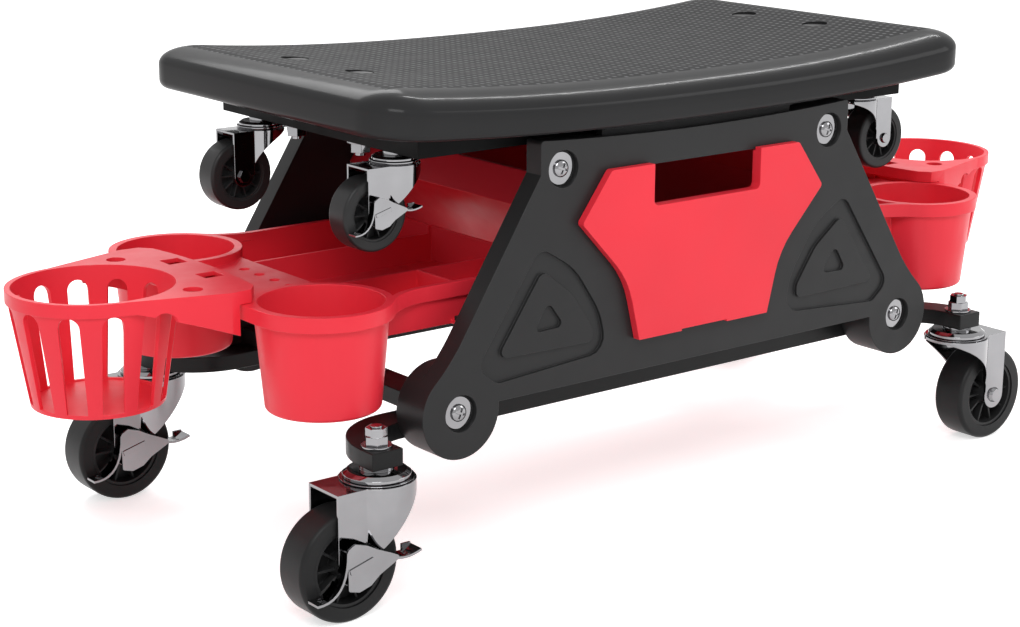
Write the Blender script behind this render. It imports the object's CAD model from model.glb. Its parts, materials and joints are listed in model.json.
import json
import math

import bmesh
import bpy
from mathutils import Matrix, Vector


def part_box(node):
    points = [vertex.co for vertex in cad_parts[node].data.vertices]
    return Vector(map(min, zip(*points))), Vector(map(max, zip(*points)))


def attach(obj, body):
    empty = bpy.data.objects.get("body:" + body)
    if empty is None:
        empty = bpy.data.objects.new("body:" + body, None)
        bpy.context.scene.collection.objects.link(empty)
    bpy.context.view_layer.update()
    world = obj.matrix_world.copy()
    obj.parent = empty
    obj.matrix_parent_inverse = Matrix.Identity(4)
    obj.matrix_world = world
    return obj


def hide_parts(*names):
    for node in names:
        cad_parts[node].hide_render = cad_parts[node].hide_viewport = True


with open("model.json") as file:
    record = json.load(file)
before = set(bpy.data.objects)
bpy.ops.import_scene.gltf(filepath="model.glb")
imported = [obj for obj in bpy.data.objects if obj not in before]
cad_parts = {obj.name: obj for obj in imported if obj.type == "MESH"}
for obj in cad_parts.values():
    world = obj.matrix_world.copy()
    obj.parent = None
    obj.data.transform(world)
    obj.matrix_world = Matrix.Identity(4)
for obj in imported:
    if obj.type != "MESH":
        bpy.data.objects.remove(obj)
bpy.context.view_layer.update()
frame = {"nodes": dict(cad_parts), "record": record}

nodes = frame["nodes"]
body_of = {node: body for body, members in frame["record"]["behaviour"]["bodies"].items()
           for node in members}
slot_of = {part["node"]: part["material_slot"] for part in frame["record"]["subparts"]}
MM = 0.001

RED = (0.83, 0.03, 0.05)
BLACK = (0.019, 0.019, 0.0195)
CHROME = (0.28, 0.278, 0.287)

WEAR_REACH = 0.6 * MM
GRAIN_STRENGTH = 0.3

# The cover's studded field: its half sides, the studs' rows and their size
FIELD_X, FIELD_Y = 257 * MM, 126 * MM
STUD_PITCH_X, STUD_PITCH_Y = 15.6 * MM, 7.14 * MM
STUD_R, STUD_HEIGHT, STUD_PALER = 1.9 * MM, 0.5 * MM, 6.0
BORDER_GLOSS = 0.14


# Finishes


def new_finish(name):
    """A material with its shader and the object's own coordinates."""
    finish = bpy.data.materials.new(name)
    finish.use_nodes = True
    tree = finish.node_tree
    place = tree.nodes.new("ShaderNodeTexCoord").outputs["Object"]
    return finish, tree, tree.nodes["Principled BSDF"], place


def add_node(tree, kind, inputs=()):
    """A node of a finish, each input set to a value or joined to a socket."""
    node = tree.nodes.new(kind)
    for key, value in dict(inputs).items():
        if isinstance(value, bpy.types.NodeSocket):
            tree.links.new(value, node.inputs[key])
        else:
            node.inputs[key].default_value = value
    return node


def maths(tree, operation, *values, clamp=False):
    node = tree.nodes.new("ShaderNodeMath")
    node.operation = operation
    node.use_clamp = clamp
    for socket, value in zip(node.inputs, values):
        if isinstance(value, bpy.types.NodeSocket):
            tree.links.new(value, socket)
        else:
            socket.default_value = value
    return node.outputs[0]


def remap(tree, value, low, high, new_low, new_high):
    """Stretches low to high onto new_low to new_high, and stops at both ends."""
    return add_node(tree, "ShaderNodeMapRange",
                    {"Value": value, "From Min": low, "From Max": high,
                     "To Min": new_low, "To Max": new_high}).outputs["Result"]


def speckle(tree, place, scale, detail=3.0):
    """Cloudy pattern from nought to one, finer as the scale grows."""
    return add_node(tree, "ShaderNodeTexNoise",
                    {"Vector": place, "Scale": scale, "Detail": detail}).outputs["Fac"]


def shade_between(tree, share, colour_a, colour_b):
    """Colour that goes from a to b with the share."""
    mix = tree.nodes.new("ShaderNodeMix")
    mix.data_type = "RGBA"
    for socket, value in ((mix.inputs[0], share), (mix.inputs[6], colour_a),
                          (mix.inputs[7], colour_b)):
        if isinstance(value, bpy.types.NodeSocket):
            tree.links.new(value, socket)
        elif isinstance(value, tuple):
            socket.default_value = (*value, 1)
        else:
            socket.default_value = value
    return mix.outputs[2]


def times(colour, k):
    """The colour made k times as light."""
    return tuple(min(1.0, c * k) for c in colour)


def bump(tree, shader, height, depth, strength=GRAIN_STRENGTH, under=None):
    """Raises and sinks the surface by a pattern, over a finer pattern where one is given."""
    inputs = {"Strength": strength, "Distance": depth, "Height": height}
    if under is not None:
        inputs["Normal"] = under
    normal = add_node(tree, "ShaderNodeBump", inputs).outputs["Normal"]
    tree.links.new(normal, shader.inputs["Normal"])


def worn_edges(tree, place, radius):
    """Share of rubbing: near sharp edges, broken up by a coarse speckle."""
    soft_normal = add_node(tree, "ShaderNodeBevel", {"Radius": radius}).outputs["Normal"]
    flat_normal = tree.nodes.new("ShaderNodeNewGeometry").outputs["Normal"]
    dot = tree.nodes.new("ShaderNodeVectorMath")
    dot.operation = "DOT_PRODUCT"
    tree.links.new(soft_normal, dot.inputs[0])
    tree.links.new(flat_normal, dot.inputs[1])
    turn = remap(tree, dot.outputs["Value"], 0.99, 0.85, 0.0, 1.0)
    return maths(tree, "MULTIPLY", turn,
                 remap(tree, speckle(tree, place, 90.0), 0.35, 0.65, 0.3, 1.0))


def moulded(name, colour, rough, grain, depth, edge=1.5, gleam=0.2):
    """Moulded surface: fine grain, slow drifts of shade and edges rubbed a little paler."""
    finish, tree, shader, place = new_finish(name)
    drift = remap(tree, speckle(tree, place, 8.0, 2.0), 0.3, 0.7, 0.0, 1.0)
    shade = shade_between(tree, drift, times(colour, 0.95), times(colour, 1.05))
    shade = shade_between(tree, worn_edges(tree, place, WEAR_REACH), shade, times(colour, edge))
    tree.links.new(shade, shader.inputs["Base Color"])
    tree.links.new(remap(tree, speckle(tree, place, 60.0), 0.3, 0.7, rough - 0.05, rough + 0.05),
                   shader.inputs["Roughness"])
    bump(tree, shader, speckle(tree, place, grain), depth)
    shader.inputs["Specular IOR Level"].default_value = gleam
    return finish


def plated(name, colour, rough):
    """Bright plating with faint polishing marks and slightly dulled patches."""
    finish, tree, shader, place = new_finish(name)
    cloud = remap(tree, speckle(tree, place, 30.0), 0.35, 0.7, 0.0, 1.0)
    tree.links.new(shade_between(tree, cloud, colour, times(colour, 0.88)),
                   shader.inputs["Base Color"])
    marks = speckle(tree, place, 160.0, 5.0)
    tree.links.new(remap(tree, marks, 0.3, 0.75, rough * 0.5, rough * 1.8),
                   shader.inputs["Roughness"])
    bump(tree, shader, marks, 0.03 * MM, 0.15)
    shader.inputs["Metallic"].default_value = 1.0
    return finish


def tread(name, colour):
    """Rubber with a soft sheen and a little dust in it."""
    finish, tree, shader, place = new_finish(name)
    dust = speckle(tree, place, 40.0, 4.0)
    tree.links.new(shade_between(tree, remap(tree, dust, 0.4, 0.75, 0.0, 1.0), colour,
                                 times(colour, 1.4)), shader.inputs["Base Color"])
    tree.links.new(remap(tree, dust, 0.3, 0.7, 0.34, 0.46), shader.inputs["Roughness"])
    bump(tree, shader, speckle(tree, place, 320.0), 0.15 * MM, 0.25)
    shader.inputs["Specular IOR Level"].default_value = 0.15
    return finish


def studded_cover(name, colour):
    """Satin cover with staggered rows of small raised studs inside its glossier border."""
    finish, tree, shader, place = new_finish(name)
    split = add_node(tree, "ShaderNodeSeparateXYZ", {"Vector": place})
    x, y = split.outputs["X"], split.outputs["Y"]

    def from_stud(value, pitch, shift):
        cell = maths(tree, "FRACT", maths(tree, "ADD", maths(tree, "DIVIDE", value, pitch),
                                          500.0 + shift))
        away = maths(tree, "MULTIPLY", maths(tree, "SUBTRACT", cell, 0.5), pitch / STUD_R)
        return maths(tree, "MULTIPLY", away, away)

    def studs(shift):
        away = maths(tree, "ADD", from_stud(x, STUD_PITCH_X, shift),
                     from_stud(y, STUD_PITCH_Y, shift))
        return maths(tree, "SUBTRACT", 1.0, away, clamp=True)

    def within(value, half):
        return remap(tree, maths(tree, "ABSOLUTE", value), half + 1 * MM, half, 0.0, 1.0)

    facing = tree.nodes.new("ShaderNodeNewGeometry").outputs["Normal"]
    up = add_node(tree, "ShaderNodeSeparateXYZ", {"Vector": facing}).outputs["Z"]
    field = maths(tree, "MULTIPLY", maths(tree, "MULTIPLY", within(x, FIELD_X), within(y, FIELD_Y)),
                  maths(tree, "GREATER_THAN", up, 0.5))
    stud = maths(tree, "MULTIPLY", maths(tree, "MAXIMUM", studs(0.0), studs(0.5)), field)
    drift = remap(tree, speckle(tree, place, 7.0, 2.0), 0.3, 0.7, 0.0, 1.0)
    shade = shade_between(tree, drift, times(colour, 0.94), times(colour, 1.06))
    shade = shade_between(tree, maths(tree, "POWER", stud, 0.6), shade,
                          times(colour, STUD_PALER))
    tree.links.new(shade, shader.inputs["Base Color"])
    satin = remap(tree, speckle(tree, place, 55.0), 0.3, 0.7, 0.28, 0.34)
    tree.links.new(maths(tree, "ADD", satin, maths(tree, "MULTIPLY", field, 0.16)),
                   shader.inputs["Roughness"])
    grain = add_node(tree, "ShaderNodeTexVoronoi", {"Vector": place, "Scale": 1100.0})
    skin = add_node(tree, "ShaderNodeBump", {"Strength": 0.1, "Distance": 0.05 * MM,
                                             "Height": grain.outputs["Distance"]})
    bump(tree, shader, stud, STUD_HEIGHT, 0.9, skin.outputs["Normal"])
    border = maths(tree, "SUBTRACT", 1.0, field)
    tree.links.new(maths(tree, "MULTIPLY", border, BORDER_GLOSS), shader.inputs["Coat Weight"])
    shader.inputs["Coat Roughness"].default_value = 0.12
    shader.inputs["Specular IOR Level"].default_value = 0.02
    return finish


finishes = {
    "red_plastic": moulded("red_plastic", RED, 0.4, 700.0, 0.04 * MM, 1.15, gleam=0.28),
    "black_plastic": moulded("black_plastic", BLACK, 0.42, 900.0, 0.06 * MM, 4.0),
    "seat_board": moulded("seat_board", times(BLACK, 0.4), 0.5, 500.0, 0.08 * MM, gleam=0.06),
    "black_strip": moulded("black_strip", BLACK, 0.55, 800.0, 0.08 * MM, gleam=0.1),
    "black_steel": moulded("black_steel", times(BLACK, 0.5), 0.34, 420.0, 0.06 * MM, 3.0,
                           gleam=0.15),
    "wheel_plastic": moulded("wheel_plastic", times(BLACK, 1.1), 0.4, 600.0, 0.06 * MM, 2.0),
    "small_wheel": moulded("small_wheel", times(BLACK, 1.2), 0.36, 600.0, 0.04 * MM, 2.0),
    "tyre_rubber": tread("tyre_rubber", times(BLACK, 0.75)),
    "chrome_hardware": plated("chrome_hardware", CHROME, 0.06),
    "seat_cover": studded_cover("seat_cover", times(BLACK, 1.3)),
}
for name, node in nodes.items():
    if not node.material_slots:
        node.data.materials.append(None)
    for held in node.material_slots:
        held.material = finishes[slot_of[name]]


# Pieces

WELD = 0.002 * MM
SAME_PLANE, SHARP_TURN, SMOOTH_TURN = math.radians(0.5), math.radians(32), math.radians(50)
ROUNDING_SHARES = (1.0, 0.55, 0.4, 0.25)
FOLD_LIMIT, SLIVER = 2.0, 0.002


def pick(piece):
    """Makes the piece the only selected one."""
    bpy.ops.object.select_all(action="DESELECT")
    piece.select_set(True)
    bpy.context.view_layer.objects.active = piece


def settle(piece, node_name, replaces=True):
    """Gives the piece its node's finish, its body and its place in the table."""
    piece.data.materials.clear()
    piece.data.materials.append(finishes[slot_of[node_name]])
    if replaces:
        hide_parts(node_name)
    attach(piece, body_of[node_name])
    return piece


def finish_with(piece, kind, **settings):
    """Gives the piece a modifier and works it into the mesh."""
    modifier = piece.modifiers.new(kind.lower(), kind)
    for key, value in settings.items():
        setattr(modifier, key, value)
    bpy.ops.object.modifier_apply(modifier=modifier.name)


def largest_fold(piece):
    """Largest area in one face, in square millimetres, that lies the wrong way round."""
    data = piece.data
    data.calc_loop_triangles()
    folded = {}
    for part in data.loop_triangles:
        a, b, c = (data.vertices[i].co for i in part.vertices)
        facing, face = (b - a).cross(c - a) / MM ** 2, part.polygon_index
        if facing.length > SLIVER and facing.normalized().dot(data.polygons[face].normal) < 0.5:
            folded[face] = folded.get(face, 0.0) + facing.length / 2
    return max(folded.values(), default=0.0)


def eased(node_name, width):
    """The node's shape with its sharp edges rounded over, less where a face would fold."""
    piece = bpy.data.objects.new(node_name + "_eased", nodes[node_name].data.copy())
    bpy.context.scene.collection.objects.link(piece)
    pick(piece)
    bpy.ops.object.mode_set(mode="EDIT")
    bpy.ops.mesh.select_all(action="SELECT")
    bpy.ops.mesh.remove_doubles(threshold=WELD)
    bpy.ops.mesh.dissolve_limited(angle_limit=SAME_PLANE)
    bpy.ops.mesh.customdata_custom_splitnormals_clear()
    bpy.ops.object.mode_set(mode="OBJECT")
    sharp = piece.data.copy()
    for share in ROUNDING_SHARES:
        piece.data = sharp.copy()
        finish_with(piece, "BEVEL", width=share * width, segments=2, limit_method="ANGLE",
                    angle_limit=SHARP_TURN, use_clamp_overlap=False)
        if largest_fold(piece) < FOLD_LIMIT:
            break
    bpy.ops.object.shade_smooth_by_angle(angle=SMOOTH_TURN)
    finish_with(piece, "WEIGHTED_NORMAL", keep_sharp=True)
    return settle(piece, node_name)


# Width of each node's rounded edges, in millimetres
rounding_of = {
    "near_side_panel": 0.8, "far_side_panel": 0.8, "drawer": 0.7, "left_tray": 0.6,
    "right_tray": 0.6, "left_basket": 0.6, "right_basket": 0.6, "near_rail": 0.8,
    "far_rail": 0.8, "left_cross_tube": 0.8, "right_cross_tube": 0.8, "seat_board": 1.2,
    "rest_strips": 0.4, "drawer_runners": 0.4, "left_tray_runners": 0.4,
    "right_tray_runners": 0.4, "stem_nuts": 0.3, "stem_washers": 0.2, "panel_washers": 0.2,
    "panel_screws": 0.15, "caster_stems": 0.3, "seat_caster_stems": 0.2, "seat_nuts": 0.2,
    "seat_washers": 0.15, "seat_bolts": 0.2, "seat_bolt_caps": 0.4}
for name in nodes:
    small = name.startswith("seat")
    if name.endswith("_fork"):
        rounding_of[name] = 0.25 if small else 0.35
    elif name.endswith("_brake"):
        rounding_of[name] = 0.15 if small else 0.25
    elif name.endswith(("_wheel", "_tyre")):
        rounding_of[name] = 0.3
    elif name.endswith("_axle"):
        rounding_of[name] = 0.2
for name, width in rounding_of.items():
    eased(name, width * MM)


# Seat pad, moulded in one piece over its board

pad_low, pad_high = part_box("seat_pad")
HALF_X, HALF_Y = pad_high[0], pad_high[1]
PAD_CORNER, PAD_EDGE, EDGE_DROP, EDGE_LOW = 34 * MM, 36 * MM, 14.4 * MM, 5 * MM
PAD_THICK, TOP_RISE, UNDER_RISE, SEAT_POWER = 29.7 * MM, 14 * MM, 10.8 * MM, 2.4
BOLT_X, BOLT_Y, CAP_R, CAP_DEEP = 219 * MM, 40 * MM, 10 * MM, 2.4 * MM
ROLL_STEPS, TOP_STEPS = 14, 14


def pad_under(x):
    """Height of the underside, level in the middle and rising to both ends."""
    return pad_low[2] + UNDER_RISE * abs(x / HALF_X) ** SEAT_POWER


def pad_top(x):
    """Height of the top over the same place, rising a little more than the underside."""
    return pad_low[2] + PAD_THICK + TOP_RISE * abs(x / HALF_X) ** SEAT_POWER


def pad_ring(inset, arc_steps=10, side_steps=96):
    """Round the pad's plan; point i and point n - 1 - i face each other over its length."""
    r = max(PAD_CORNER - inset, EDGE_LOW / 2)
    x, y = HALF_X - inset - r, HALF_Y - inset - r
    ring = []
    for quarter, (sx, sy) in enumerate(((1, 1), (-1, 1), (-1, -1), (1, -1))):
        for i in range(arc_steps + 1):
            a = math.pi / 2 * (quarter + i / arc_steps)
            ring.append((sx * x + r * math.cos(a), sy * y + r * math.sin(a)))
        if quarter % 2 == 0:
            ring += [(sx * x * (1 - 2 * i / side_steps), sy * (y + r))
                     for i in range(1, side_steps)]
    return ring


def pad_levels():
    """Inset and height share of each ring, from the underside to the middle of the top."""
    inner = 0.96 * HALF_Y
    levels = [(inner, 0.0), (0.6 * inner, 0.0), (0.3 * inner, 0.0), (2 * EDGE_LOW, 0.0)]
    for i in range(ROLL_STEPS, -1, -2):
        a = math.pi / 2 * i / ROLL_STEPS
        levels.append((EDGE_LOW * (1 - math.cos(a)), EDGE_LOW / PAD_THICK * (1 - math.sin(a))))
    for i in range(ROLL_STEPS + 1):
        a = math.pi / 2 * i / ROLL_STEPS
        levels.append((PAD_EDGE * (1 - math.cos(a)), 1 - EDGE_DROP / PAD_THICK * (1 - math.sin(a))))
    return levels + [(PAD_EDGE + (inner - PAD_EDGE) * i / TOP_STEPS, 1.0)
                     for i in range(1, TOP_STEPS + 1)]


def pad_mesh():
    """Closed pad: rings joined from the underside round the edge to the top, both ends filled."""
    shape = bmesh.new()
    rings = []
    for inset, share in pad_levels():
        rings.append([shape.verts.new((x, y, pad_under(x) + share * (pad_top(x) - pad_under(x))))
                      for x, y in pad_ring(inset)])
    n = len(rings[0])
    for lower, upper in zip(rings, rings[1:]):
        for i in range(n):
            shape.faces.new((lower[i], lower[(i + 1) % n], upper[(i + 1) % n], upper[i]))
    bottom, top = rings[0], rings[-1]
    for i in range(n // 2 - 1):
        shape.faces.new((bottom[i + 1], bottom[i], bottom[n - 1 - i], bottom[n - 2 - i]))
        shape.faces.new((top[i], top[i + 1], top[n - 2 - i], top[n - 1 - i]))
    bmesh.ops.recalc_face_normals(shape, faces=shape.faces)
    data = bpy.data.meshes.new("seat_pad_cover")
    shape.to_mesh(data)
    shape.free()
    return data


pad = bpy.data.objects.new("seat_pad_cover", pad_mesh())
bpy.context.scene.collection.objects.link(pad)

# Four round recesses over the bolts
for sx in (-1, 1):
    for sy in (-1, 1):
        bpy.ops.object.select_all(action="DESELECT")
        floor_z = pad_top(BOLT_X) - CAP_DEEP
        bpy.ops.mesh.primitive_cylinder_add(
            vertices=64, radius=CAP_R, depth=PAD_THICK,
            location=(sx * BOLT_X, sy * BOLT_Y, floor_z + PAD_THICK / 2))
        punch = bpy.context.object
        pick(pad)
        finish_with(pad, "BOOLEAN", operation="DIFFERENCE", object=punch)
        bpy.data.objects.remove(punch)
pick(pad)
bpy.ops.object.shade_smooth_by_angle(angle=math.radians(38))
settle(pad, "seat_pad")


# Raised lettering on the brake levers

# Ends and middle of the lever's two bends, along and up from the wheel's axle in wheel radii
LEVER_REAR = [(-0.25, 0.42), (-0.27, -0.43), (-0.88, -0.4)]
LEVER_FRONT = [(0.6, 0.16), (0.92, 0.0), (1.27, 0.14)]
LEVER_SHEET = 0.045
LETTER_RISE, LETTER_GAP = 0.25, 0.05
REAR_SHARE, FRONT_SHARE = 0.86, 0.6


def lever_point(points, t):
    """Place and direction on a lever's bend, in its own long and upright axes."""
    a, c, b = (Vector(p) for p in points)
    place = a * (1 - t) ** 2 + c * 2 * t * (1 - t) + b * t ** 2
    run = ((c - a) * (1 - t) + (b - c) * t).normalized()
    return place, run if run.x > 0 else -run


def lettering(word, caster, corner, turned, wheel_r, trail, bend, t, y_mid, size):
    """A word standing on the lever's upper face, across the tread, in millimetres."""
    place, run = lever_point([(p[0] * wheel_r - trail, (1 + p[1]) * wheel_r) for p in bend], t)
    bpy.ops.object.select_all(action="DESELECT")
    bpy.ops.object.text_add()
    letters = bpy.context.object
    letters.data.body = word
    letters.data.size = size * MM
    letters.data.extrude = LETTER_RISE * MM
    letters.data.align_x = "CENTER"
    letters.data.align_y = "CENTER"
    bpy.ops.object.convert(target="MESH")
    letters = bpy.context.object
    letters.name = f"{caster}_{word.lower()}_lettering"
    along, face = Vector((run.x, 0, run.y)), Vector((-run.y, 0, run.x))
    stand = Vector((place.x, y_mid, place.y)) + face * (wheel_r * LEVER_SHEET / 2 + LETTER_GAP)
    turn = Matrix((Vector((0, -1, 0)), along, face)).transposed().to_4x4()
    half_turn = Matrix.Rotation(math.pi if turned else 0.0, 4, "Z")
    letters.data.transform(Matrix.Translation(Vector(corner) * MM) @ half_turn
                           @ Matrix.Translation(stand * MM) @ turn)
    settle(letters, caster + "_brake", replaces=False)


for caster, corner, turned, wheel_r, trail, y_mid, size in (
        ("near_left", (-283.5, -148.6, 0), False, 37.5, 30.5, -20.5, 5.0),
        ("far_left", (-283.5, 148.6, 0), False, 37.5, 30.5, -20.5, 5.0),
        ("seat_near_left", (-222, -84, 221.7), False, 25.0, 22.0, -13.5, 3.4),
        ("seat_far_right", (222, 84, 221.7), True, 25.0, 22.0, -13.5, 3.4)):
    lettering("OFF", caster, corner, turned, wheel_r, trail, LEVER_REAR, REAR_SHARE,
              y_mid, size)
    lettering("ON", caster, corner, turned, wheel_r, trail, LEVER_FRONT, FRONT_SHARE,
              y_mid, size)


# Floor, light and camera

FLOOR_COLOUR, FLOOR_GLOW, ROOM_LIGHT = (0.93, 0.93, 0.93, 1), 0.6, 0.6
FOCAL_PIXELS, IMAGE_PIXELS = 2130.5, 1020
CAMERA_PLACE = (-1.0242, -1.2239, 0.5432)
CAMERA_HEADING, CAMERA_DIP, CAMERA_ROLL = -38.313, 14.829, 0.280


def seen_directly(tree):
    """One for rays from the camera, a mirror or glass, nought for light that falls on things."""
    ray = tree.nodes.new("ShaderNodeLightPath")
    first = maths(tree, "MAXIMUM", ray.outputs["Is Camera Ray"], ray.outputs["Is Glossy Ray"])
    return maths(tree, "MAXIMUM", first, ray.outputs["Is Transmission Ray"])


def either_shader(tree, share, plain, direct, out):
    """Gives the surface its direct look where the share is one, and its plain look elsewhere."""
    mix = tree.nodes.new("ShaderNodeMixShader")
    for socket, value in zip(mix.inputs, (share, plain, direct)):
        tree.links.new(value, socket)
    tree.links.new(mix.outputs[0], out.inputs[0])


bpy.ops.object.select_all(action="DESELECT")
bpy.ops.mesh.primitive_plane_add(size=14)
floor = bpy.context.object
floor.name = "studio_floor"
floor_finish, floor_tree, floor_shader, _ = new_finish("studio_floor")
floor_shader.inputs["Base Color"].default_value = FLOOR_COLOUR
floor_shader.inputs["Roughness"].default_value = 0.8
floor.data.materials.append(floor_finish)
glow = add_node(floor_tree, "ShaderNodeEmission", {"Strength": FLOOR_GLOW})
lit = floor_tree.nodes.new("ShaderNodeAddShader")
floor_tree.links.new(floor_shader.outputs[0], lit.inputs[0])
floor_tree.links.new(glow.outputs[0], lit.inputs[1])
either_shader(floor_tree, seen_directly(floor_tree), floor_shader.outputs[0], lit.outputs[0],
              floor_tree.nodes["Material Output"])

world = bpy.data.worlds.new("studio")
bpy.context.scene.world = world
world.use_nodes = True
sky = world.node_tree
sky.nodes.clear()
backdrop = add_node(sky, "ShaderNodeBackground", {"Color": (1, 1, 1, 1), "Strength": 1.0})
room = add_node(sky, "ShaderNodeBackground", {"Color": (1, 1, 1, 1), "Strength": ROOM_LIGHT})
either_shader(sky, seen_directly(sky), room.outputs[0], backdrop.outputs[0],
              sky.nodes.new("ShaderNodeOutputWorld"))


def lamp(name, place, target, size, watts):
    """A soft flat lamp at a place in metres, turned to its target."""
    light = bpy.data.lights.new(name, "AREA")
    light.shape = "RECTANGLE"
    light.size, light.size_y = size
    light.energy = watts
    holder = bpy.data.objects.new(name, light)
    bpy.context.scene.collection.objects.link(holder)
    aim = (Vector(target) - Vector(place)).to_track_quat("-Z", "Y")
    holder.matrix_world = Matrix.Translation(place) @ aim.to_matrix().to_4x4()


lamp("key_lamp", (-1.3, -1.6, 1.9), (0, 0, 0.15), (1.2, 0.9), 26)
lamp("fill_lamp", (1.8, -1.4, 1.2), (0.1, 0, 0.15), (1.0, 1.0), 10)
lamp("rim_lamp", (0.3, 1.6, 1.5), (0, 0, 0.2), (1.6, 0.5), 16)
lamp("edge_lamp", (1.15, 0.6, 1.45), (1.15, 0, 0.3), (1.3, 0.04), 9)

camera = bpy.data.objects.new("photo_camera", bpy.data.cameras.new("photo_camera"))
bpy.context.scene.collection.objects.link(camera)
camera.data.sensor_width = 36
camera.data.lens = camera.data.sensor_width * FOCAL_PIXELS / IMAGE_PIXELS
camera.data.clip_end = 50
camera.matrix_world = (Matrix.Translation(CAMERA_PLACE)
                       @ Matrix.Rotation(math.radians(CAMERA_HEADING), 4, "Z")
                       @ Matrix.Rotation(math.radians(90 - CAMERA_DIP), 4, "X")
                       @ Matrix.Rotation(math.radians(CAMERA_ROLL), 4, "Z"))
bpy.context.scene.camera = camera
bpy.context.scene.view_settings.view_transform = "Standard"
